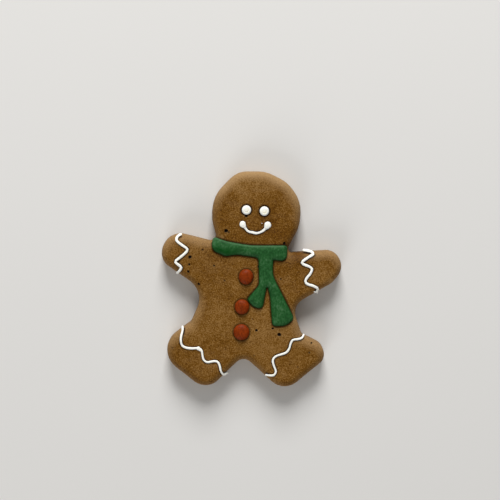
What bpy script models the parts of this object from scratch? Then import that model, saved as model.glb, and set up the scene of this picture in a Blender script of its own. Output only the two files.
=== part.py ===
"""A gingerbread man cookie, lying face up.

The biscuit is one thick solid with a flat back and a rounded rim. On its face lie a scarf, three
buttons, two eyes, a smile and a zigzag of piped icing round each wrist and ankle.

Metres, +Z up. The flat back is at z = 0, the head points to +Y, and the origin is the centre of the
box round the back. Left and right are the viewer's, looking down on the face.
"""

import math

import bmesh
import bpy
import numpy as np
from mathutils import Vector

MM = 0.001

# The biscuit
THICKNESS = 11.0 * MM
RIM_RADIUS = 4.0 * MM  # the rounding between the face and the side wall
FOOT_RADIUS = 1.0 * MM  # the rounding between the side wall and the back
RIM_STEPS = 4
SMALL_ROUNDING_STEPS = 2
ARC_STEP = math.radians(12)
CREASE_ANGLE = math.radians(40)  # edges sharper than this are shaded as creases
SHORTEST_STRAIGHT = 0.6 * MM  # arcs nearer than this run straight into each other

# What lies on the face
GAP = 0.3 * MM  # between a topping and the biscuit
SCARF_THICKNESS = 1.7 * MM
SCARF_EDGE = 0.7 * MM
SCARF_GRID = 1.5 * MM  # the scarf bends over the rim between cuts this far apart
BUTTON_HEIGHT = 2.3 * MM
BUTTON_FULLNESS = 2.6  # how square a dome's side view is: 2 is half an ellipse
EYE_WIDTH = 4.7 * MM
EYE_HEIGHT = 1.7 * MM
EYE_FULLNESS = 2.3
DOME_STEPS = 6
DOME_SIDES = 28
CUFF_WIDTH = 1.5 * MM
ANKLET_WIDTH = 1.27 * MM
SMILE_WIDTH = 1.36 * MM
SMILE_BLOB_WIDTHS = (3.4 * MM, 3.7 * MM)  # the drops of icing at its two ends
SMILE_FLATNESS = 0.55  # height of the smile's icing as a share of its width
ICING_STEP = 1.0 * MM  # between the rings that a line of icing is made of
ROUND_END_SHARES = (0.04, 0.3, 0.65)  # where the rings of a rounded end lie, as shares of its radius
SWELL_LENGTH = 1.4  # a line swells to its end drop over this many of the drop's radii

# Outlines, clockwise from the viewer's side: each corner is (x, y, rounding radius) in millimetres.
HEAD = [
    (-21.1, 28.5, 18.0),
    (-20.9, 39.9, 17.0),
    (-10.3, 52.5, 11.0),
    (3.8, 53.4, 14.0),
    (14.3, 48.9, 14.0),
    (21.7, 41.0, 15.0),
    (22.1, 28.8, 19.0),
    (17.3, 17.6, 2.0),
]
RIGHT_ARM = [
    (17.9, 15.2, 1.5),
    (40.6, 18.3, 7.2),
    (45.3, 9.3, 8.0),
    (40.0, 2.1, 8.0),
    (21.4, -10.7, 7.8),
]
RIGHT_LEG = [
    (27.5, -24.6, 1.5),
    (37.5, -28.4, 7.0),
    (40.1, -35.3, 6.0),
    (20.9, -53.9, 9.2),
]
CROTCH = [(-0.3, -36.9, 4.6)]
LEFT_LEG = [
    (-16.9, -56.1, 9.0),
    (-38.0, -42.2, 11.0),
    (-38.0, -31.9, 9.4),
    (-27.3, -22.6, 2.5),
]
LEFT_ARM = [
    (-21.7, -6.8, 10.5),
    (-43.9, 6.3, 8.0),
    (-43.9, 21.6, 9.1),
    (-19.9, 17.9, 2.5),
    (-18.2, 20.4, 2.0),
]
FIGURE = HEAD + RIGHT_ARM + RIGHT_LEG + CROTCH + LEFT_LEG + LEFT_ARM

SCARF_BAND_TOP = [(-19.7, 20.6, 1.8), (-12.5, 18.8, 20.0), (-1.0, 17.7, 40.0), (17.0, 19.2, 1.9)]
SCARF_BAND_END = [(16.5, 11.5, 2.6), (10.3, 11.5, 0.6)]
SCARF_LONG_TAIL = [
    (10.5, 4.4, 12.0),
    (22.9, -16.2, 2.4),
    (19.0, -20.0, 6.0),
    (12.5, -20.8, 2.0),
    (10.3, -6.5, 8.0),
]
SCARF_FORK = [(8.3, 0.0, 0.5)]
SCARF_SHORT_TAIL = [
    (7.0, -12.7, 1.9),
    (2.7, -12.1, 5.0),
    (-0.9, -8.6, 1.2),
    (4.5, -1.2, 4.0),
    (3.2, 12.1, 2.0),
]
SCARF_BAND_BOTTOM = [(-7.5, 12.8, 12.0), (-12.8, 11.5, 5.0), (-19.7, 14.0, 4.0)]
SCARF = (
    SCARF_BAND_TOP
    + SCARF_BAND_END
    + SCARF_LONG_TAIL
    + SCARF_FORK
    + SCARF_SHORT_TAIL
    + SCARF_BAND_BOTTOM
)

# Round toppings: (x, y, width, length) in millimetres.
BUTTONS = [(-2.1, 2.4, 6.9, 7.4), (-2.9, -12.4, 7.0, 7.2), (-2.2, -24.8, 7.7, 7.7)]
EYES = {"left": (-4.4, 34.6), "right": (4.2, 34.75)}

# Points that each line of icing is piped through, (x, y) in millimetres.
SMILE = [
    (-6.75, 28.95), (-4.6, 26.3), (-2.8, 24.4), (-0.7, 24.05),
    (1.1, 23.8), (2.9, 24.35), (4.9, 25.8), (7.2, 29.75),
]
CUFFS = {
    "left": [
        (-34.6, 20.4), (-36.4, 19.4), (-36.9, 17.5), (-35.3, 16.1), (-33.0, 14.7), (-31.2, 13.3),
        (-32.5, 11.2), (-34.7, 9.1), (-36.7, 7.0), (-35.2, 5.7), (-33.6, 4.5), (-34.2, 2.9), (-35.7, 1.1),
    ],
    "right": [
        (24.2, 17.0), (26.3, 17.0), (28.5, 16.7), (29.4, 15.8), (27.4, 14.3), (25.0, 12.4), (24.2, 11.2),
        (25.6, 10.4), (28.0, 9.7), (29.4, 8.5), (28.6, 6.1), (27.1, 3.9), (26.7, 2.1), (28.2, 1.0),
        (30.8, 0.4), (33.0, -0.8), (32.6, -2.6),
    ],
}
ANKLETS = {
    "left": [
        (-31.1, -24.9), (-30.8, -26.6), (-31.2, -28.8), (-31.2, -31.4), (-30.4, -33.6), (-28.4, -34.6),
        (-25.8, -34.7), (-22.9, -34.4), (-21.0, -35.0), (-20.3, -37.2), (-19.5, -39.8), (-17.6, -40.9),
        (-14.8, -40.2), (-12.6, -40.3), (-11.5, -42.2), (-10.6, -44.9), (-9.1, -46.9), (-7.1, -46.1),
    ],
    "right": [
        (28.3, -24.2), (27.2, -25.6), (25.2, -26.2), (23.1, -26.6), (22.1, -28.4), (21.6, -31.0),
        (20.3, -33.1), (17.8, -34.3), (15.2, -35.5), (14.1, -37.5), (14.9, -40.2), (16.0, -42.8),
        (15.2, -44.7), (13.0, -45.2), (10.9, -45.2),
    ],
}

# Colours as linear red, green and blue
GINGERBREAD_BROWN = (0.190, 0.085, 0.016)
SCARF_GREEN = (0.028, 0.100, 0.028)
BUTTON_RED = (0.190, 0.034, 0.006)
ICING_WHITE = (0.88, 0.87, 0.80)


def rounded_outline(corners):
    """The corners in millimetres as a closed outline in metres, each rounded with its own radius."""
    outline = []
    for index, (x, y, radius) in enumerate(corners):
        corner = Vector((x, y)) * MM
        before = (Vector(corners[index - 1][:2]) * MM - corner).normalized()
        after = (Vector(corners[(index + 1) % len(corners)][:2]) * MM - corner).normalized()
        half_angle = before.angle(after) / 2
        radius *= MM
        centre = corner + (before + after).normalized() * radius / math.sin(half_angle)
        start = corner + before * radius / math.tan(half_angle) - centre
        end = corner + after * radius / math.tan(half_angle) - centre
        turn = math.atan2(start.x * end.y - start.y * end.x, start.dot(end))
        steps = max(2, math.ceil(abs(turn) / ARC_STEP))
        first = math.atan2(start.y, start.x)
        joined = bool(outline) and (centre + start - outline[-1]).length < SHORTEST_STRAIGHT
        for step in range(1 if joined else 0, steps + 1):
            angle = first + turn * step / steps
            outline.append(centre + Vector((math.cos(angle), math.sin(angle))) * radius)
    return outline


FIGURE_OUTLINE = np.array([tuple(point) for point in rounded_outline(FIGURE)])


def inset(x, y):
    """How far a point lies inside the biscuit's outline; negative outside it."""
    point = np.array((x, y))
    starts, ends = FIGURE_OUTLINE, np.roll(FIGURE_OUTLINE, -1, axis=0)
    sides = ends - starts
    along = np.clip(((point - starts) * sides).sum(axis=1) / (sides**2).sum(axis=1), 0, 1)
    distance = np.linalg.norm(starts + sides * along[:, None] - point, axis=1).min()
    spans = (starts[:, 1] > y) != (ends[:, 1] > y)
    crossings = starts[spans, 0] + (y - starts[spans, 1]) * sides[spans, 0] / sides[spans, 1]
    inside = np.count_nonzero(crossings > x) % 2 == 1
    return distance if inside else -distance


def face_height(x, y, lift):
    """Height, over a point, of the surface that stays `lift` off the face and rolls over the rim."""
    rolled = RIM_RADIUS - inset(x, y)
    if rolled <= 0:
        return THICKNESS + lift
    reach = RIM_RADIUS + lift
    return THICKNESS - RIM_RADIUS + math.sqrt(max(reach**2 - rolled**2, 0))


def slab(outline, bottom, top, top_rounding, bottom_rounding=0):
    """A bmesh of a flat piece between two heights, its upper and lower edges rounded."""
    shape = bmesh.new()
    base = shape.faces.new([shape.verts.new((x, y, bottom)) for x, y in outline])
    if base.normal.z > 0:
        base.normal_flip()
    raised = bmesh.ops.extrude_face_region(shape, geom=[base])["geom"]
    raised_points = [item for item in raised if isinstance(item, bmesh.types.BMVert)]
    bmesh.ops.translate(shape, verts=raised_points, vec=(0, 0, top - bottom))
    bmesh.ops.recalc_face_normals(shape, faces=shape.faces)
    for height, rounding in ((top, top_rounding), (bottom, bottom_rounding)):
        if not rounding:
            continue
        rim = [
            edge
            for edge in shape.edges
            if all(abs(vert.co.z - height) < GAP / 10 for vert in edge.verts)
        ]
        bmesh.ops.bevel(
            shape,
            geom=rim,
            offset=rounding,
            offset_type="OFFSET",
            segments=RIM_STEPS if rounding > FOOT_RADIUS else SMALL_ROUNDING_STEPS,
            profile=0.5,
            affect="EDGES",
            clamp_overlap=False,
        )
    return shape


def add_object(name, data, material, collection):
    """Links a new object for a mesh or a curve, with its material."""
    data.name = name
    piece = bpy.data.objects.new(name, data)
    data.materials.append(material)
    collection.objects.link(piece)
    return piece


def add_mesh(name, shape, material, collection):
    """Turns a bmesh into an object with smooth shading and sharp creases."""
    mesh = bpy.data.meshes.new(name)
    bmesh.ops.triangulate(shape, faces=shape.faces)
    shape.to_mesh(mesh)
    shape.free()
    mesh.shade_smooth()
    mesh.set_sharp_from_angle(angle=CREASE_ANGLE)
    return add_object(name, mesh, material, collection)


def make_material(name, colour, roughness):
    material = bpy.data.materials.new(name)
    material.use_nodes = True
    shader = material.node_tree.nodes["Principled BSDF"]
    shader.inputs["Base Color"].default_value = (*colour, 1)
    shader.inputs["Roughness"].default_value = roughness
    shader.inputs["Metallic"].default_value = 0
    return material


def make_cookie(material, collection):
    shape = slab(FIGURE_OUTLINE, 0, THICKNESS, RIM_RADIUS, FOOT_RADIUS)
    add_mesh("cookie", shape, material, collection)


def make_scarf(material, collection):
    """The scarf lies on the face, and its ends bend over the rim at the neck."""
    outline = rounded_outline(SCARF)
    shape = slab(outline, THICKNESS + GAP, THICKNESS + GAP + SCARF_THICKNESS, SCARF_EDGE)
    for axis in range(2):
        normal = Vector((axis == 0, axis == 1, 0))
        lowest = min(point[axis] for point in outline)
        highest = max(point[axis] for point in outline)
        cuts = int((highest - lowest) / SCARF_GRID)
        for cut in range(1, cuts + 1):
            geometry = [*shape.verts, *shape.edges, *shape.faces]
            place = normal * (lowest + cut * SCARF_GRID)
            bmesh.ops.bisect_plane(shape, geom=geometry, dist=MM / 1000, plane_co=place, plane_no=normal)
    for vert in shape.verts:
        vert.co.z = face_height(vert.co.x, vert.co.y, vert.co.z - THICKNESS)
    add_mesh("scarf", shape, material, collection)


def make_dot(name, place, width, length, height, fullness, material, collection):
    """A turned drop on the face: a flat base under a dome, squarer as `fullness` grows past 2."""
    power = 2 / fullness
    shape = bmesh.new()
    profile = []
    for step in range(DOME_STEPS + 1):
        angle = math.radians(90) * step / DOME_STEPS
        across = math.sin(angle) ** power / 2
        profile.append(shape.verts.new((across, 0, height * max(math.cos(angle), 0) ** power)))
    profile.append(shape.verts.new((0, 0, 0)))
    for upper, lower in zip(profile, profile[1:]):
        shape.edges.new((upper, lower))
    mesh = bpy.data.meshes.new(name)
    shape.to_mesh(mesh)
    shape.free()
    dot = add_object(name, mesh, material, collection)
    turning = dot.modifiers.new("Turn", "SCREW")
    turning.axis = "Z"
    turning.steps = turning.render_steps = DOME_SIDES
    turning.use_merge_vertices = True
    turning.merge_threshold = MM / 1000
    turning.use_smooth_shade = True
    dot.scale = (width, length, 1)
    dot.location = (*place, THICKNESS + GAP)


def smooth_route(knots):
    """Points along the curve that passes through every knot."""
    points_per_span = 8
    route = []
    padded = [knots[0], *knots, knots[-1]]
    for before, start, end, after in zip(padded, padded[1:], padded[2:], padded[3:]):
        before, start, end, after = (Vector(knot) for knot in (before, start, end, after))
        for step in range(points_per_span):
            t = step / points_per_span
            bend = 2 * before - 5 * start + 4 * end - after
            twist = 3 * start - before - 3 * end + after
            route.append((2 * start + (end - before) * t + bend * t**2 + twist * t**3) / 2)
    route.append(Vector(knots[-1]))
    return route


def piped_radii(along, length, radius, end_radii):
    """Radius of a line of icing at a place along it: where nothing is rounded off, and as it is.

    The line swells to each of its end radii, and is rounded off within that radius of its end.
    """
    from_end, end_radius = min((along, end_radii[0]), (length - along, end_radii[1]))
    fade = (from_end - end_radius) / (SWELL_LENGTH * end_radius)
    swell = (1 + math.cos(math.pi * min(max(fade, 0), 1))) / 2
    full = radius + (end_radius - radius) * swell
    into_end = max(1 - from_end / end_radius, 0)
    return full, full * math.sqrt(1 - into_end**2)


def stations(length, end_radii):
    """Places along a line of icing: close together in its rounded ends, then evenly spaced."""
    body = length - sum(end_radii)
    steps = round(body / ICING_STEP)
    even = [end_radii[0] + body * step / steps for step in range(steps + 1)]
    first_end = [end_radii[0] * share for share in ROUND_END_SHARES]
    last_end = [length - end_radii[1] * share for share in reversed(ROUND_END_SHARES)]
    return first_end + even + last_end


def pipe_icing(name, knots, width, material, collection, end_widths=None, flatness=1):
    """A line of icing piped through the knots, with rounded ends, that follows the face and the rim."""
    radius = width / 2
    end_radii = [end_width / 2 for end_width in end_widths or (width, width)]
    flat_route = smooth_route([Vector(knot) * MM for knot in knots])
    route = [Vector((*point, face_height(*point, GAP + radius))) for point in flat_route]
    spans = [(end - start).length for start, end in zip(route, route[1:])]
    reached = np.concatenate([[0], np.cumsum(spans)])
    length = float(reached[-1])
    places = stations(length, end_radii)
    line = bpy.data.curves.new(name, "CURVE")
    line.dimensions = "3D"
    line.bevel_depth = 1
    line.bevel_resolution = 2
    line.use_fill_caps = True
    spline = line.splines.new("POLY")
    spline.points.add(len(places) - 1)
    for point, place in zip(spline.points, places):
        x, y = (float(np.interp(place, reached, [stop[axis] for stop in route])) for axis in range(2))
        full, point.radius = piped_radii(place, length, radius, end_radii)
        point.co = (x, y, face_height(x, y, GAP + full) - THICKNESS - GAP, 1)
    piece = add_object(name, line, material, collection)
    piece.location.z = THICKNESS + GAP
    piece.scale.z = flatness


def clear_scene():
    for leftover in list(bpy.data.objects):
        bpy.data.objects.remove(leftover)


def main():
    clear_scene()
    collection = bpy.data.collections.new("Gingerbread man cookie")
    bpy.context.scene.collection.children.link(collection)
    gingerbread = make_material("gingerbread", GINGERBREAD_BROWN, 0.6)
    scarf_coating = make_material("scarf coating", SCARF_GREEN, 0.55)
    button_candy = make_material("button candy", BUTTON_RED, 0.45)
    icing = make_material("icing", ICING_WHITE, 0.5)

    make_cookie(gingerbread, collection)
    make_scarf(scarf_coating, collection)
    for number, (x, y, width, length) in enumerate(BUTTONS, start=1):
        size = (width * MM, length * MM, BUTTON_HEIGHT)
        place = (x * MM, y * MM)
        make_dot(f"button_{number}", place, *size, BUTTON_FULLNESS, button_candy, collection)
    for side, (x, y) in EYES.items():
        size = (EYE_WIDTH, EYE_WIDTH, EYE_HEIGHT)
        make_dot(f"eye_{side}", (x * MM, y * MM), *size, EYE_FULLNESS, icing, collection)
    pipe_icing("smile", SMILE, SMILE_WIDTH, icing, collection, SMILE_BLOB_WIDTHS, SMILE_FLATNESS)
    for side, knots in CUFFS.items():
        pipe_icing(f"cuff_{side}", knots, CUFF_WIDTH, icing, collection)
    for side, knots in ANKLETS.items():
        pipe_icing(f"anklet_{side}", knots, ANKLET_WIDTH, icing, collection)


if __name__ == "__main__":
    main()
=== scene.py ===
"""Bakes, dresses and ices a gingerbread man cookie over its CAD frame, and lights it.

Run as a script, it makes every piece in turn. Left and right are the viewer's, looking down on the
decorated face. Lengths are in metres, and the biscuit lies on z = 0 with its head to +Y.
"""

import math

import bmesh
import bpy
import numpy as np
from bpy.props import FloatProperty, FloatVectorProperty, IntProperty, PointerProperty
from mathutils import Matrix, Vector, noise
from mathutils.bvhtree import BVHTree
from mathutils.kdtree import KDTree


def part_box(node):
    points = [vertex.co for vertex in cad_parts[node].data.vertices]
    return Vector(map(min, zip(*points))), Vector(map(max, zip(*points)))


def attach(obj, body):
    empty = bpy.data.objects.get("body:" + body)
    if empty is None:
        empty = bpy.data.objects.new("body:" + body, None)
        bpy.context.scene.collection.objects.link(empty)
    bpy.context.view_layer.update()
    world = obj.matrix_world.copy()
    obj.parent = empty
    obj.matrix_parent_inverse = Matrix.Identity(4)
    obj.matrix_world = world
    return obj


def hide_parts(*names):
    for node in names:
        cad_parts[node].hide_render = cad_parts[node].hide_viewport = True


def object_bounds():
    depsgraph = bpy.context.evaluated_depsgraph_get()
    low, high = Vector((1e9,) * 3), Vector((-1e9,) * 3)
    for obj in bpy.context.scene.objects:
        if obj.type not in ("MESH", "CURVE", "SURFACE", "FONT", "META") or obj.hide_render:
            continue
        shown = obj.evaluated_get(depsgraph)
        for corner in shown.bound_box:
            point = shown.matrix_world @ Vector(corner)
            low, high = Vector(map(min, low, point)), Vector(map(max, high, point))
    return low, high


bl_info = {
    "name": "Gingerbread Man Cookie",
    "version": (1, 0, 0),
    "blender": (4, 5, 0),
    "location": "3D View > Sidebar > Cookie",
    "description": "Bakes, dresses and ices a gingerbread man cookie",
    "category": "Object",
}

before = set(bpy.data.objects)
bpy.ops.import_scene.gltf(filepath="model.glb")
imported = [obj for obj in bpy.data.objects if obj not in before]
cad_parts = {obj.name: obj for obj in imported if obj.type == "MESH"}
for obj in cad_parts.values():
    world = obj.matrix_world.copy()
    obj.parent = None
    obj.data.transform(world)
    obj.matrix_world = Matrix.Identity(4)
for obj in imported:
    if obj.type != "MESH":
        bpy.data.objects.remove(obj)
cad_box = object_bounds()

MM = 0.001
BODY = "root"
BISCUIT = "Biscuit"
TOPPING_NODES = [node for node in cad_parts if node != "cookie"]
FACE_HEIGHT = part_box("cookie")[1].z

# Pinholes in the face: (x, y, radius, depth) in millimetres.
PINHOLES = [
    (-29.8, 9.8, 0.71, 1.3),
    (-13.4, 23.8, 0.80, 1.3),
    (16.2, -24.6, 0.78, 1.3),
    (-30.1, 2.7, 0.55, 0.9),
    (-24.6, -3.0, 0.52, 0.9),
    (15.0, 19.9, 0.62, 0.9),
    (3.6, 7.7, 0.48, 0.8),
    (12.8, -21.9, 0.48, 0.8),
    (5.0, -23.4, 0.55, 0.9),
    (-29.9, 6.2, 0.46, 0.7),
    (-17.9, 6.5, 0.45, 0.6),
    (-12.3, -0.3, 0.39, 0.5),
    (-12.0, 23.2, 0.37, 0.5),
    (32.2, -27.7, 0.41, 0.6),
    (-24.0, 13.8, 0.42, 0.5),
    (14.7, 2.5, 0.42, 0.5),
    (31.5, -32.3, 0.42, 0.5),
    (26.5, -39.8, 0.32, 0.3),
    (4.9, -35.8, 0.32, 0.3),
    (-35.1, -35.3, 0.41, 0.3),
    (2.5, -18.0, 0.30, 0.3),
    (-4.3, 31.6, 0.55, 0.8),
    (-34.9, 7.1, 0.42, 0.6),
    (3.7, 27.9, 0.32, 0.5),
]

# Darker (above 0) and paler (below 0) places on the face: (x, y, reach, strength), in millimetres. They hold
# both the bake's tone and painted light: the head's top is painted paler and its lower part darker, as the key
# light falls, and the spot at (22, 15) is painted shade where the head shades the right arm by the neck.
TONE_AND_SHADE_SPOTS = [
    (-8, 48, 7, -0.9),
    (3, 48, 7, -0.4),
    (0, 41, 6, -0.3),
    (-12, 40, 4, 0.6),
    (-18, 32, 7, 0.4),
    (7, 28, 10, 0.6),
    (-4, 22, 8, 0.5),
    (17, 23, 7, 0.3),
    (22, 15, 5, 0.9),
    (-20, 13, 4, 0.4),
    (-33, 14, 5, -0.3),
    (-4, -12, 22, -0.2),
    (0, -36, 26, -0.2),
    (39.3, 3.4, 0.9, -3),
]

# Thicker spots of icing on the piped pieces: (x, y, z, radius) in millimetres.
BLOBS = {
    "smile": [(3.55, 28.8, 11.8, 0.34)],
    "cuff_right": [
        (31.5, -2.5, 11.05, 0.42),
        (32.0, -2.6, 10.95, 0.45),
        (32.6, -2.85, 10.65, 0.5),
        (33.15, -3.1, 10.3, 0.48),
    ],
    "anklet_left": [
        (-22.4, -34.5, 11.65, 1.1),
        (-21.5, -35.0, 11.6, 1.0),
        (-8.2, -46.5, 10.0, 0.6),
        (-7.5, -46.2, 9.5, 0.58),
    ],
}

# How strong the painted contact shadow on the dough is beside each topping; where none is given, it is 1.
SHADE_BESIDE = {"scarf": 0.85, "button_1": 0.65, "button_2": 0.65, "button_3": 0.65}

# Painted shade on the scarf's lower slope, towards the left of the band: (x, y, reach, strength), in
# millimetres.
SCARF_SHADE = [(-17.6, 14.8, 1.5, 0.7), (-15.2, 13.7, 1.9, 1.1), (-11.7, 13.5, 1.8, 0.9), (-8.5, 14.0, 1.3, 0.5)]



class DoughSettings(bpy.types.PropertyGroup):
    """The baked biscuit."""

    colour: FloatVectorProperty(
        name="Dough", description="Main brown of the baked face", subtype="COLOR",
        default=(0.152, 0.0615, 0.003), min=0, max=1,
    )
    dark_colour: FloatVectorProperty(
        name="Dark grains", description="Brown of the darker grains and patches", subtype="COLOR",
        default=(0.066, 0.022, 0.0008), min=0, max=1,
    )
    light_colour: FloatVectorProperty(
        name="Light grains", description="Brown of the lighter grains and patches", subtype="COLOR",
        default=(0.29, 0.155, 0.045), min=0, max=1,
    )
    # The wall colour stands both for the paler bake of the sides and for a painted highlight on the rim that
    # faces the key light beyond the head.
    paler_wall_and_highlight_colour: FloatVectorProperty(
        name="Wall", description="Paler brown of the side wall, which bakes less than the face",
        subtype="COLOR", default=(0.32, 0.2, 0.09), min=0, max=1,
    )
    # The pinholes are painted near-black: painted shade in the pits.
    pinhole_shade_colour: FloatVectorProperty(
        name="Pinholes", description="Brown inside the pinholes", subtype="COLOR",
        default=(0.006, 0.003, 0.001), min=0, max=1,
    )
    mesh_size: FloatProperty(
        name="Mesh size", description="Side of a face of the biscuit's mesh", unit="LENGTH",
        default=0.45 * MM, min=0.4 * MM, max=2 * MM, precision=5,
    )
    unevenness: FloatProperty(
        name="Unevenness", description="How far the baked surface swells and dips", unit="LENGTH",
        default=0.2 * MM, min=0, max=1 * MM, precision=5,
    )


class CoatingSettings(bpy.types.PropertyGroup):
    """The scarf and the buttons."""

    scarf_colour: FloatVectorProperty(
        name="Scarf", description="Green of the scarf", subtype="COLOR",
        default=(0.0145, 0.084, 0.0185), min=0, max=1,
    )
    # The scarf's pale colour serves its paler streaks and the painted highlight along the band's upper edge.
    scarf_pale_colour: FloatVectorProperty(
        name="Scarf, worn", description="Green of the scarf's paler streaks and upper edge",
        subtype="COLOR", default=(0.05, 0.138, 0.053), min=0, max=1,
    )
    # Painted shade colour of the scarf, for its edges and its lower slope.
    scarf_shade_colour: FloatVectorProperty(
        name="Scarf, thick", description="Green of the scarf where it is thick or at its edge",
        subtype="COLOR", default=(0.0005, 0.052, 0.004), min=0, max=1,
    )
    button_colour: FloatVectorProperty(
        name="Buttons", description="Red-brown of the buttons", subtype="COLOR",
        default=(0.2, 0.026, 0.0005), min=0, max=1,
    )
    button_pale_colour: FloatVectorProperty(
        name="Buttons, worn", description="Red-brown of the buttons' paler streaks",
        subtype="COLOR", default=(0.25, 0.034, 0.001), min=0, max=1,
    )
    # Painted shade colour of the buttons, for their feet.
    button_shade_colour: FloatVectorProperty(
        name="Buttons, thick", description="Brown of the buttons' feet", subtype="COLOR",
        default=(0.07, 0.01, 0.0005), min=0, max=1,
    )
    scarf_crown: FloatProperty(
        name="Scarf crown", description="How much lower the scarf's edges are than its middle",
        unit="LENGTH", default=0.7 * MM, min=0, max=1 * MM, precision=5,
    )
    sink: FloatProperty(
        name="Sink", description="How far a coated piece is pressed down into the CAD's gap",
        unit="LENGTH", default=0.45 * MM, min=0, max=1 * MM, precision=5,
    )


class IcingSettings(bpy.types.PropertyGroup):
    """The white icing."""

    colour: FloatVectorProperty(
        name="Icing", description="White of the set icing", subtype="COLOR",
        default=(0.97, 0.965, 0.89), min=0, max=1,
    )
    hollow_colour: FloatVectorProperty(
        name="Hollow", description="Cream of the hollows in the drops", subtype="COLOR",
        default=(0.86, 0.78, 0.55), min=0, max=1,
    )
    mesh_size: FloatProperty(
        name="Mesh size", description="Side of a face of the icing's mesh", unit="LENGTH",
        default=0.13 * MM, min=0.08 * MM, max=1 * MM, precision=5,
    )
    sink: FloatProperty(
        name="Sink", description="How far the icing is pressed down into the CAD's gap",
        unit="LENGTH", default=0.52 * MM, min=0, max=1 * MM, precision=5,
    )
    shrinkage: FloatProperty(
        name="Shrinkage", description="How far the icing's skin draws in as it sets",
        unit="LENGTH", default=0.085 * MM, min=0, max=0.3 * MM, precision=5,
    )
    slump: FloatProperty(
        name="Slump", description="Share of its height that the soft icing settles by",
        subtype="FACTOR", default=0.45, min=0, max=0.8,
    )


class StudioSettings(bpy.types.PropertyGroup):
    """The floor, the lights and the camera."""

    floor_colour: FloatVectorProperty(
        name="Floor", description="Colour of the floor", subtype="COLOR",
        default=(0.72, 0.71, 0.69), min=0, max=1,
    )
    key_power: FloatProperty(
        name="Key light", description="Power of the large light beyond the head", unit="POWER",
        default=41.0, min=0,
    )
    fill_power: FloatProperty(
        name="Fill light", description="Power of the light beside the feet", unit="POWER",
        default=12.0, min=0,
    )
    sky: FloatProperty(
        name="Sky", description="Brightness of the light from all round", default=0.24, min=0
    )
    lens: FloatProperty(
        name="Lens", description="Focal length of the camera, in millimetres", default=85, min=10
    )
    distance: FloatProperty(
        name="Distance", description="From the camera to the cookie", unit="LENGTH",
        default=0.575, min=0.1,
    )
    seed: IntProperty(name="Seed", description="Picks where the small irregularities lie", default=3)


# ---------------------------------------------------------------- shader recipes


class Signal:
    """A value that a material's nodes work out, on which sums are written as plain Python."""

    def __init__(self, recipe, socket):
        self.recipe = recipe
        self.socket = socket

    def _math(self, operation, *values, clamp=False):
        settings = {"operation": operation, "use_clamp": clamp}
        return self.recipe.node("ShaderNodeMath", settings, dict(enumerate(values)))

    def __add__(self, other):
        return self._math("ADD", self, other)

    def __sub__(self, other):
        return self._math("SUBTRACT", self, other)

    def __rsub__(self, other):
        return self._math("SUBTRACT", other, self)

    def __mul__(self, other):
        return self._math("MULTIPLY", self, other)

    __radd__ = __add__
    __rmul__ = __mul__

    def clamped(self):
        return self._math("ADD", self, 0.0, clamp=True)


class Recipe:
    """A material: its Principled shader and the nodes that feed it."""

    def __init__(self, name, fixed):
        self.material = bpy.data.materials.new(name)
        self.material.use_nodes = True
        self.tree = self.material.node_tree
        self.shader = self.tree.nodes["Principled BSDF"]
        for socket, value in fixed.items():
            self.shader.inputs[socket].default_value = value

    def node(self, kind, settings, sockets, output=0):
        """Adds a node, makes its settings, fills or links its sockets, and returns an output."""
        made = self.tree.nodes.new(kind)
        for key, value in settings.items():
            if key == "stops":
                set_stops(made.color_ramp, value)
            else:
                setattr(made, key, value)
        for key, value in sockets.items():
            if isinstance(value, Signal):
                self.tree.links.new(value.socket, made.inputs[key])
            else:
                made.inputs[key].default_value = value
        return Signal(self, made.outputs[output])

    def place(self, stretch=(1, 1, 1), shift=0.0):
        """The point on the piece, in metres, stretched along the axes and shifted for variety."""
        here = self.node("ShaderNodeTexCoord", {}, {}, "Object")
        if stretch != (1, 1, 1):
            here = self.node("ShaderNodeVectorMath", {"operation": "MULTIPLY"}, {0: here, 1: stretch})
        if shift:
            move = (shift, shift * 0.7, shift * 1.3)
            here = self.node("ShaderNodeVectorMath", {"operation": "ADD"}, {0: here, 1: move})
        return here

    def bumps(self, size, detail=2.0, roughness=0.5, stretch=(1, 1, 1), shift=0.0):
        """Soft noise from 0 to 1, whose bumps are about `size` across."""
        sockets = {
            "Vector": self.place(stretch, shift),
            "Scale": 1 / size,
            "Detail": detail,
            "Roughness": roughness,
        }
        return self.node("ShaderNodeTexNoise", {}, sockets)

    def specks(self, spacing, share):
        """1 in the middle of small round specks, which lie in `share` of cells this far apart."""
        cells = {"Vector": self.place(), "Scale": 1 / spacing}
        away = self.node("ShaderNodeTexVoronoi", {}, cells, "Distance")
        pick = self.node("ShaderNodeTexVoronoi", {}, cells, "Color")
        return self.rise(away, 0.32, 0.12) * self.rise(pick, 1.02 - share, 1.05 - share)

    def rise(self, value, start, end):
        """0 up to `start`, 1 from `end` on, and smooth between."""
        settings = {"interpolation_type": "SMOOTHSTEP"}
        return self.node("ShaderNodeMapRange", settings, {0: value, 1: start, 2: end})

    def painted(self, name):
        """A value that the mesh carries at each of its points."""
        return self.node("ShaderNodeAttribute", {"attribute_name": name}, {}, "Fac")

    def mix(self, share, first, second, blend="MIX"):
        """Two colours mixed, `share` of the way from the first to the second."""
        settings = {"data_type": "RGBA", "blend_type": blend, "clamp_factor": True}
        sockets = {0: share, 6: opaque(first), 7: opaque(second)}
        return self.node("ShaderNodeMix", settings, sockets, 2)

    def ramp(self, value, stops):
        """A colour picked from stops by a value from 0 to 1."""
        return self.node("ShaderNodeValToRGB", {"stops": stops}, {0: value})

    def finish(self, colour, roughness, height, bump_distance, bump_strength=1.0):
        """Joins the shader's colour, roughness and relief, and returns the material."""
        relief = {"Height": height, "Distance": bump_distance, "Strength": bump_strength}
        normal = self.node("ShaderNodeBump", {}, relief)
        for socket, value in (("Base Color", colour), ("Roughness", roughness), ("Normal", normal)):
            self.tree.links.new(value.socket, self.shader.inputs[socket])
        return self.material


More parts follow.
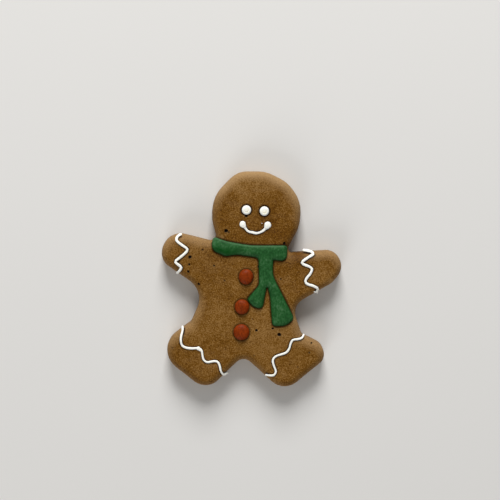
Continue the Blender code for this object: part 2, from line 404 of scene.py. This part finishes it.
def opaque(colour):
    """A colour that a socket takes: a signal as it is, or three numbers with an alpha of 1."""
    return colour if isinstance(colour, Signal) else (*colour, 1)


def set_stops(ramp, stops):
    """Gives a colour ramp exactly these stops: (position, colour) in rising order."""
    while len(ramp.elements) > len(stops):
        ramp.elements.remove(ramp.elements[-1])
    while len(ramp.elements) < len(stops):
        ramp.elements.new(1.0)
    for element, (position, colour) in zip(ramp.elements, stops):
        element.position = position
        element.color = opaque(colour)


def scaled(colour, factor):
    """A colour made darker or lighter."""
    return tuple(min(channel * factor, 1.0) for channel in colour)


def bake_dough_material(dough):
    """Baked dough: fine grain, darker and lighter patches, some of them painted light and shade, pinholes
    painted dark with shade, painted shadow beside the toppings, and a wall mixed to its own brown that carries a
    painted highlight on the rim towards the head.
    """
    recipe = Recipe("Baked dough", {"Specular IOR Level": 0.08})
    patches = recipe.bumps(17 * MM, detail=2)
    mottle = recipe.bumps(3.2 * MM, detail=3, roughness=0.6, shift=0.31)
    grain = recipe.bumps(0.56 * MM, detail=3, roughness=0.8, shift=0.57)
    specks = recipe.specks(1.3 * MM, 0.3)
    tone = 0.5 + 0.5 * (patches - 0.5) + 0.35 * (mottle - 0.5) + 2.5 * (grain - 0.5)
    # Painted light and shade from the spots: paler at the head's top, and darker lower on the head and on the
    # right arm by the neck.
    tone = tone - 0.3 * recipe.painted("toast") - 0.25 * specks
    stops = [(0.1, dough.dark_colour), (0.5, dough.colour), (0.9, dough.light_colour)]
    colour = recipe.ramp(tone, stops)
    # Mixes towards the wall colour: paler baked sides, and a painted highlight on the rim towards the head.
    colour = recipe.mix(recipe.painted("wall") * (0.15 + 1.6 * grain), colour, dough.paler_wall_and_highlight_colour)
    # The dough beside the toppings is darkened towards a near-black brown: painted contact shadow.
    shadow_colour = scaled(dough.dark_colour, 0.3)
    colour = recipe.mix(recipe.painted("beside_topping"), colour, shadow_colour)
    # Painted shade inside the pinholes.
    colour = recipe.mix(recipe.painted("pinhole"), colour, dough.pinhole_shade_colour)
    roughness = 0.6 + 0.2 * (grain - 0.5) + 0.3 * recipe.painted("pinhole")
    return recipe.finish(colour, roughness, grain + 0.6 * mottle - 0.3 * specks, 0.14 * MM)


def coating_material(name, colour, pale_colour, shade_colour, gloss):
    """A smooth set coating with faint darker clouds, small streaks and a satin sheen, with painted shade at its
    edges and feet and where marked, and a painted highlight where marked.
    """
    fixed = {"Specular IOR Level": gloss, "Coat Weight": 0.15 * gloss, "Coat Roughness": 0.2}
    recipe = Recipe(name, fixed)
    clouds = recipe.bumps(4.5 * MM, detail=3)
    streaks = recipe.bumps(0.9 * MM, detail=2, stretch=(1.15, 0.8, 1), shift=0.4)
    tone = 0.5 + 0.8 * (clouds - 0.5) + 1.3 * (streaks - 0.5)
    stops = [(0.25, scaled(colour, 0.7)), (0.5, colour), (0.95, pale_colour)]
    painted = recipe.ramp(tone, stops)
    # Painted shade along the edges and at the feet.
    painted = recipe.mix(recipe.painted("rim") * 0.6, painted, shade_colour)
    # Painted shade on the scarf's lower slope, broken by the streaks.
    painted = recipe.mix(recipe.painted("shade") * (0.4 + 1.3 * streaks), painted, shade_colour)
    # Painted highlight along the scarf band's upper edge, broken by the streaks.
    painted = recipe.mix(recipe.painted("worn") * (0.2 + 1.1 * streaks), painted, pale_colour)
    return recipe.finish(painted, 0.56 + 0.3 * (streaks - 0.5), streaks + clouds, 0.15 * MM)


def icing_material(icing):
    """Set royal icing: white, a little creamy in its hollows, with a soft satin skin."""
    fixed = {
        "Subsurface Weight": 0.2,
        "Subsurface Radius": (1.0, 0.9, 0.7),
        "Subsurface Scale": 0.6 * MM,
        "Specular IOR Level": 0.35,
    }
    recipe = Recipe("Set icing", fixed)
    clouds = recipe.bumps(2.2 * MM, detail=2)
    skin = recipe.bumps(0.5 * MM, detail=2, shift=0.21)
    stops = [(0.3, scaled(icing.colour, 0.93)), (0.6, icing.colour)]
    colour = recipe.ramp(clouds, stops)
    creamy = recipe.painted("hollow") * (0.2 + 1.2 * skin)
    colour = recipe.mix(creamy, colour, icing.hollow_colour)
    return recipe.finish(colour, 0.42 + 0.25 * (skin - 0.5), skin + clouds, 0.06 * MM)


def floor_material(studio):
    """A pale matt floor with the faintest cloudiness."""
    recipe = Recipe("Pale floor", {"Specular IOR Level": 0.0})
    clouds = recipe.bumps(0.12, detail=2)
    colour = recipe.mix(clouds, scaled(studio.floor_colour, 0.985), studio.floor_colour)
    return recipe.finish(colour, 0.7 + 0.05 * clouds, clouds, 0.1 * MM)


# ---------------------------------------------------------------- meshes


def apply_modifiers(piece):
    """Replaces the piece's mesh with the one that its modifiers make."""
    graph = bpy.context.evaluated_depsgraph_get()
    made = bpy.data.meshes.new_from_object(piece.evaluated_get(graph))
    plain = piece.data
    piece.modifiers.clear()
    piece.data = made
    bpy.data.meshes.remove(plain)


def fine_copy(node, name, mesh_size, smoothing):
    """A new piece in the shape of a CAD node and its blobs, with a fine mesh and softened edges."""
    shape = bmesh.new()
    shape.from_mesh(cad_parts[node].data)
    bmesh.ops.remove_doubles(shape, verts=shape.verts, dist=MM / 1000)
    for x, y, z, radius in BLOBS.get(node, ()):
        place = Matrix.Translation(Vector((x, y, z)) * MM)
        bmesh.ops.create_icosphere(shape, subdivisions=2, radius=radius * MM, matrix=place)
    mesh = bpy.data.meshes.new(name)
    shape.to_mesh(mesh)
    shape.free()
    piece = bpy.data.objects.new(name, mesh)
    bpy.context.scene.collection.objects.link(piece)
    remesh = piece.modifiers.new("Remesh", "REMESH")
    remesh.mode = "VOXEL"
    remesh.voxel_size = mesh_size
    soften = piece.modifiers.new("Soften", "SMOOTH")
    soften.factor = 0.5
    soften.iterations = smoothing
    apply_modifiers(piece)
    piece.data.name = name
    return piece


def read(items, attribute, width=3):
    """One attribute of a mesh's points as an array."""
    values = np.empty(len(items) * width)
    items.foreach_get(attribute, values)
    return values.reshape(-1, width)


def points_and_normals(piece):
    """The places of a mesh's points, and the directions that they face."""
    return read(piece.data.vertices, "co"), read(piece.data.vertex_normals, "vector")


def move_points(piece, points):
    """Puts a mesh's points in new places, and shades it smooth."""
    piece.data.vertices.foreach_set("co", points.ravel())
    piece.data.update()
    piece.data.shade_smooth()


def swells(points, size, seed):
    """Smooth noise from about -1 to 1 at each point, with swells about `size` across."""
    shift = np.array((2.31, 5.17, 3.73)) * seed
    return np.array([noise.noise(point) for point in points / size + shift])


def eased(value):
    """0 at or below 0, 1 at or above 1, and a smooth rise between."""
    value = np.clip(value, 0, 1)
    return value * value * (3 - 2 * value)


def paint(piece, name, values):
    """Stores one value for each of a mesh's points, for its material."""
    layer = piece.data.attributes.new(name, "FLOAT", "POINT")
    layer.data.foreach_set("value", np.ascontiguousarray(values, dtype=np.float32))


def surface_of(*objects):
    """A search tree over the faces of these objects, which all sit at the origin."""
    vertices, faces = [], []
    for item in objects:
        start = len(vertices)
        vertices += [vertex.co.copy() for vertex in item.data.vertices]
        faces += [[start + index for index in face.vertices] for face in item.data.polygons]
    return BVHTree.FromPolygons(vertices, faces)


def seat(piece, sink, slump=0.0):
    """Lets a piece down into the biscuit's surface, and settles what stands out by a share of it."""
    biscuit = surface_of(bpy.data.objects[BISCUIT])
    points, _ = points_and_normals(piece)
    found = [biscuit.find_nearest(point) for point in points]
    below = np.array([place for place, _, _, _ in found])
    facing = np.array([normal for _, normal, _, _ in found])
    height = ((points - below) * facing).sum(axis=1)
    points[:, 2] -= sink / np.clip(facing[:, 2], 0.35, 1)
    points[:, 2] -= slump * np.clip(height - sink, 0, None) / np.clip(facing[:, 2], 0.7, 1)
    move_points(piece, points)


def own(piece, node, material):
    """Gives a piece its material and body, and hides the CAD node that it stands for."""
    piece.data.materials.clear()
    piece.data.materials.append(material)
    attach(piece, BODY)
    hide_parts(node)


def refine_near(piece, spots, reach, cuts):
    """Cuts the face's mesh finer within `reach` of each (x, y) spot."""
    shape = bmesh.new()
    shape.from_mesh(piece.data)
    places = KDTree(len(spots))
    for index, (x, y) in enumerate(spots):
        places.insert((x, y, 0), index)
    places.balance()
    chosen = {
        vertex
        for vertex in shape.verts
        if vertex.co.z > FACE_HEIGHT - 3 * MM
        and places.find((vertex.co.x, vertex.co.y, 0))[2] < reach
    }
    edges = [edge for edge in shape.edges if all(vertex in chosen for vertex in edge.verts)]
    bmesh.ops.subdivide_edges(shape, edges=edges, cuts=cuts, use_grid_fill=True)
    shape.to_mesh(piece.data)
    shape.free()


def spots(points, places):
    """The sum, at each point, of soft round spots: (x, y, reach, strength), in millimetres."""
    total = np.zeros(len(points))
    for x, y, reach, strength in places:
        distance = np.hypot(points[:, 0] / MM - x, points[:, 1] / MM - y)
        total += strength * np.exp(-((distance / reach) ** 2))
    return total


def topping_edges():
    """The (x, y) of every point on the toppings' side walls."""
    spots = set()
    for node in TOPPING_NODES:
        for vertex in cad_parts[node].data.vertices:
            if abs(vertex.normal.z) < 0.75:
                spots.add((round(vertex.co.x, 4), round(vertex.co.y, 4)))
    return sorted(spots)


def press_pinholes(piece):
    """Sinks each pinhole into the face as a small pit, and marks it for the material, which paints shade into
    it.
    """
    points, normals = points_and_normals(piece)
    marked = np.zeros(len(points))
    on_face = points[:, 2] > FACE_HEIGHT - 3 * MM
    for index, (x, y, radius, depth) in enumerate(PINHOLES):
        away = points - np.array((x * MM, y * MM, FACE_HEIGHT))
        distance = np.hypot(away[:, 0], away[:, 1])
        near = on_face & (distance < 3 * radius * MM)
        angle = np.arctan2(away[near, 1], away[near, 0])
        lopsided = 1 + 0.07 * np.sin(2 * angle + index) + 0.05 * np.sin(3 * angle + 2 * index)
        share = distance[near] / (radius * MM * lopsided)
        sunk = 1 - eased((share - 0.25) / 1.0)
        points[near] -= normals[near] * (sunk * depth * 0.55 * MM)[:, None]
        # How strongly each point of a pit is painted dark: painted shade in the pit.
        dark = 1 - eased((share - 0.95) / 0.4)
        marked[near] = np.maximum(marked[near], dark * min(1.0, depth / 0.7))
    move_points(piece, points)
    paint(piece, "pinhole", marked)


# ---------------------------------------------------------------- operators


class COOKIE_OT_bake_biscuit(bpy.types.Operator):
    """Bakes the biscuit: soft uneven dough with a rounded rim and a few pinholes"""

    bl_idname = "cookie.bake_biscuit"
    bl_label = "Bake the biscuit"

    def execute(self, context):
        dough = context.scene.cookie_dough
        seed = context.scene.cookie_studio.seed
        piece = fine_copy("cookie", BISCUIT, dough.mesh_size, 6)
        refine_near(piece, topping_edges(), 0.7 * MM, 1)
        refine_near(piece, [(x * MM, y * MM) for x, y, _, _ in PINHOLES], 1.5 * MM, 2)
        points, normals = points_and_normals(piece)
        height = dough.unevenness * swells(points, 18 * MM, seed)
        height += dough.unevenness * 0.35 * swells(points, 5 * MM, seed + 1)
        height += dough.unevenness * 0.14 * swells(points, 1.7 * MM, seed + 2)
        height -= dough.unevenness * 0.4
        points += normals * height[:, None]
        points[:, 2] = np.maximum(points[:, 2], 0)
        move_points(piece, points)
        press_pinholes(piece)
        points, normals = points_and_normals(piece)
        # Spots of the bake's tone and of painted light and shade on the face.
        toast = spots(points, TONE_AND_SHADE_SPOTS)
        paint(piece, "toast", toast)
        # The wall is painted paler in two ways. The sides all round are paler from the bake. The rim facing the
        # head is paler still and over a wider band, a painted highlight where the key light falls. The painted
        # shade spots take this away.
        lean = np.hypot(normals[:, 0], normals[:, 1])
        facing_key_light = eased(0.5 + 0.8 * normals[:, 1] / np.maximum(lean, 0.02))
        top = 0.65 + 0.35 * eased((points[:, 1] / MM - 25) / 15)
        pale = 0.6 * (1 - facing_key_light) * lean ** 3 + top * facing_key_light * lean ** 0.55
        paint(piece, "wall", pale * (1 - np.clip(toast, 0, 1)))
        # Painted contact shadow on the dough, darkest right beside each topping.
        shade = np.zeros(len(points))
        for strength in (0.65, 0.85, 1.0):
            nodes = [node for node in TOPPING_NODES if SHADE_BESIDE.get(node, 1.0) == strength]
            toppings = surface_of(*(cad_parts[node] for node in nodes))
            gap = np.array([toppings.find_nearest(point)[3] for point in points])
            shade = np.maximum(shade, strength * (1 - eased((gap - 0.46 * MM) / (0.6 * MM))))
        paint(piece, "beside_topping", shade)
        own(piece, "cookie", bake_dough_material(dough))
        return {"FINISHED"}


class COOKIE_OT_lay_scarf(bpy.types.Operator):
    """Lays the scarf: a crowned, softly creased coating that follows the biscuit"""

    bl_idname = "cookie.lay_scarf"
    bl_label = "Lay the scarf"

    def execute(self, context):
        coating = context.scene.cookie_coating
        seed = context.scene.cookie_studio.seed
        piece = fine_copy("scarf", "Scarf", 0.2 * MM, 10)
        points, normals = points_and_normals(piece)
        wall = points[np.abs(normals[:, 2]) < 0.35]
        edge = KDTree(len(wall))
        for index, point in enumerate(wall):
            edge.insert((point[0], point[1], 0), index)
        edge.balance()
        inset = np.array([edge.find((point[0], point[1], 0))[2] for point in points])
        upper = eased(normals[:, 2] * 2)
        sag = (1 - np.clip(inset / (3.0 * MM), 0, 1)) ** 2
        along_tails = points * np.array((1.0, 0.28, 1.0))
        creases = 0.09 * MM * swells(along_tails, 2.2 * MM, seed + 5)
        creases += 0.06 * MM * swells(points, 4.5 * MM, seed + 6)
        points[:, 2] += upper * (creases - coating.scarf_crown * sag)
        move_points(piece, points)
        seat(piece, coating.sink)
        # Painted shade along the scarf's edges.
        paint(piece, "rim", 1 - eased(inset / (0.7 * MM)))
        # Painted shade on the lower slope of the band.
        paint(piece, "shade", np.clip(spots(points, SCARF_SHADE), 0, 1))
        # Painted highlight where the band's upper edge faces the key light.
        facing_key_light = eased((normals[:, 1] - 0.1) / 0.5) * eased((points[:, 1] / MM - 9) / 3)
        paint(piece, "worn", facing_key_light)
        colours = coating.scarf_colour, coating.scarf_pale_colour, coating.scarf_shade_colour
        material = coating_material("Scarf coating", *colours, 0.11)
        own(piece, "scarf", material)
        return {"FINISHED"}


class COOKIE_OT_set_buttons(bpy.types.Operator):
    """Sets the buttons: slightly uneven domes of coating"""

    bl_idname = "cookie.set_buttons"
    bl_label = "Set the buttons"

    def execute(self, context):
        coating = context.scene.cookie_coating
        seed = context.scene.cookie_studio.seed
        colours = coating.button_colour, coating.button_pale_colour, coating.button_shade_colour
        material = coating_material("Button coating", *colours, 0.1)
        for number in (1, 2, 3):
            node = f"button_{number}"
            piece = fine_copy(node, f"Button_{number}", 0.15 * MM, 6)
            points, normals = points_and_normals(piece)
            upper = eased(normals[:, 2] * 2)
            dents = 0.16 * MM * swells(points, 3.0 * MM, seed + 10 * number)
            dents += 0.05 * MM * swells(points, 1.0 * MM, seed + 11 * number)
            points += normals * (upper * dents + 0.1 * MM)[:, None]
            move_points(piece, points)
            seat(piece, coating.sink)
            low = points[:, 2].min()
            # Painted shade at the foot of each button.
            paint(piece, "rim", 1 - eased((points[:, 2] - low) / (0.75 * MM)))
            own(piece, node, material)
        return {"FINISHED"}


class COOKIE_OT_pipe_face(bpy.types.Operator):
    """Pipes the eyes and the smile"""

    bl_idname = "cookie.pipe_face"
    bl_label = "Pipe the face"

    def execute(self, context):
        icing = context.scene.cookie_icing
        seed = context.scene.cookie_studio.seed
        material = icing_material(icing)
        for side in ("left", "right"):
            node = f"eye_{side}"
            piece = fine_copy(node, f"Eye_{side}", icing.mesh_size, 6)
            points, normals = points_and_normals(piece)
            low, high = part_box(node)
            x, y = (points[:, axis] - (low[axis] + high[axis]) / 2 for axis in (0, 1))
            away, angle = np.hypot(x, y), np.arctan2(y, x)
            crescent = np.exp(-(((away - 1.0 * MM) / (0.26 * MM)) ** 2)) * (0.5 + 0.5 * np.cos(angle + 0.9))
            dimple = 0.3 * np.exp(-((away / (0.9 * MM)) ** 2)) + crescent
            lumps = 0.07 * MM * swells(points, 1.4 * MM, seed + len(side))
            points[:, 2] += eased(normals[:, 2] * 2) * (lumps - 0.3 * MM * dimple)
            move_points(piece, points - normals * icing.shrinkage)
            paint(piece, "hollow", dimple)
            seat(piece, icing.sink, icing.slump)
            own(piece, node, material)
        ice_line("smile", "Smile", icing, material, seed + 20)
        return {"FINISHED"}


class COOKIE_OT_pipe_bands(bpy.types.Operator):
    """Pipes the zigzags round the wrists and the ankles"""

    bl_idname = "cookie.pipe_bands"
    bl_label = "Pipe the wrists and ankles"

    def execute(self, context):
        icing = context.scene.cookie_icing
        seed = context.scene.cookie_studio.seed
        material = icing_material(icing)
        for index, node in enumerate(("cuff_left", "cuff_right", "anklet_left", "anklet_right")):
            ice_line(node, node.capitalize(), icing, material, seed + 30 + index)
        return {"FINISHED"}


def ice_line(node, name, icing, material, seed):
    """Pipes one line of icing, a little uneven along its length."""
    piece = fine_copy(node, name, icing.mesh_size, 5)
    points, normals = points_and_normals(piece)
    lumps = 0.1 * MM * swells(points, 2.4 * MM, seed)
    lumps += 0.03 * MM * swells(points, 0.9 * MM, seed + 1)
    move_points(piece, points + normals * (lumps - icing.shrinkage)[:, None])
    seat(piece, icing.sink, icing.slump)
    own(piece, node, material)


class COOKIE_OT_set_stage(bpy.types.Operator):
    """Sets the floor, the lights and the camera"""

    bl_idname = "cookie.set_stage"
    bl_label = "Set the stage"

    def execute(self, context):
        studio = context.scene.cookie_studio
        centre = (cad_box[0] + cad_box[1]) / 2
        lay_floor(studio)
        light("Key light", centre, (-120, 1560, 880), 800 * MM, studio.key_power)
        light("Fill light", centre, (-500, -1500, 750), 1000 * MM, studio.fill_power)
        sky = bpy.data.worlds.new("Soft sky")
        sky.use_nodes = True
        background = sky.node_tree.nodes["Background"]
        background.inputs["Color"].default_value = (1, 0.985, 0.96, 1)
        background.inputs["Strength"].default_value = studio.sky
        context.scene.world = sky
        context.scene.view_settings.view_transform = "Standard"
        place_camera(context, studio, centre)
        return {"FINISHED"}


def lay_floor(studio):
    """A wide flat floor under the cookie."""
    shape = bmesh.new()
    bmesh.ops.create_grid(shape, x_segments=8, y_segments=8, size=2.5)
    mesh = bpy.data.meshes.new("Floor")
    shape.to_mesh(mesh)
    shape.free()
    mesh.materials.append(floor_material(studio))
    floor = bpy.data.objects.new("Floor", mesh)
    floor.location.z = -0.02 * MM
    bpy.context.scene.collection.objects.link(floor)


def light(name, centre, offset, size, power):
    """A soft square light, at an offset in millimetres from the cookie, aimed at it."""
    lamp = bpy.data.lights.new(name, "AREA")
    lamp.size = size
    lamp.energy = power
    holder = bpy.data.objects.new(name, lamp)
    holder.location = centre + Vector(offset) * MM
    holder.rotation_euler = (centre - holder.location).to_track_quat("-Z", "Y").to_euler()
    bpy.context.scene.collection.objects.link(holder)


def place_camera(context, studio, centre):
    """Looks almost straight down, from a little towards the head, with the camera slightly turned."""
    turn = Matrix.Rotation(math.radians(4.5), 3, "Z") @ Matrix.Rotation(math.radians(-6), 3, "X")
    look_at = Vector((centre.x, centre.y, 0)) + Vector((-1.14, 14.86, 5.0)) * MM
    data = bpy.data.cameras.new("Camera")
    data.lens = studio.lens
    camera = bpy.data.objects.new("Camera", data)
    camera.location = look_at + turn @ Vector((0, 0, studio.distance))
    camera.rotation_euler = turn.to_euler()
    context.scene.collection.objects.link(camera)
    context.scene.camera = camera


class COOKIE_PT_kitchen(bpy.types.Panel):
    """Lists the steps that make the cookie, and their settings"""

    bl_label = "Gingerbread man cookie"
    bl_idname = "COOKIE_PT_kitchen"
    bl_space_type = "VIEW_3D"
    bl_region_type = "UI"
    bl_category = "Cookie"

    def draw(self, context):
        for step in STEPS:
            self.layout.operator(step.bl_idname)
        for attribute, group in SETTINGS.items():
            box = self.layout.box()
            for name in group.__annotations__:
                box.prop(getattr(context.scene, attribute), name)


SETTINGS = {
    "cookie_dough": DoughSettings,
    "cookie_coating": CoatingSettings,
    "cookie_icing": IcingSettings,
    "cookie_studio": StudioSettings,
}
STEPS = (
    COOKIE_OT_bake_biscuit,
    COOKIE_OT_lay_scarf,
    COOKIE_OT_set_buttons,
    COOKIE_OT_pipe_face,
    COOKIE_OT_pipe_bands,
    COOKIE_OT_set_stage,
)
CLASSES = (*SETTINGS.values(), *STEPS, COOKIE_PT_kitchen)


def register():
    for entry in CLASSES:
        bpy.utils.register_class(entry)
    for attribute, group in SETTINGS.items():
        setattr(bpy.types.Scene, attribute, PointerProperty(type=group))


def unregister():
    for attribute in SETTINGS:
        delattr(bpy.types.Scene, attribute)
    for entry in reversed(CLASSES):
        bpy.utils.unregister_class(entry)


def main():
    register()
    for step in STEPS:
        group, operation = step.bl_idname.split(".")
        getattr(getattr(bpy.ops, group), operation)()


if __name__ == "__main__":
    main()
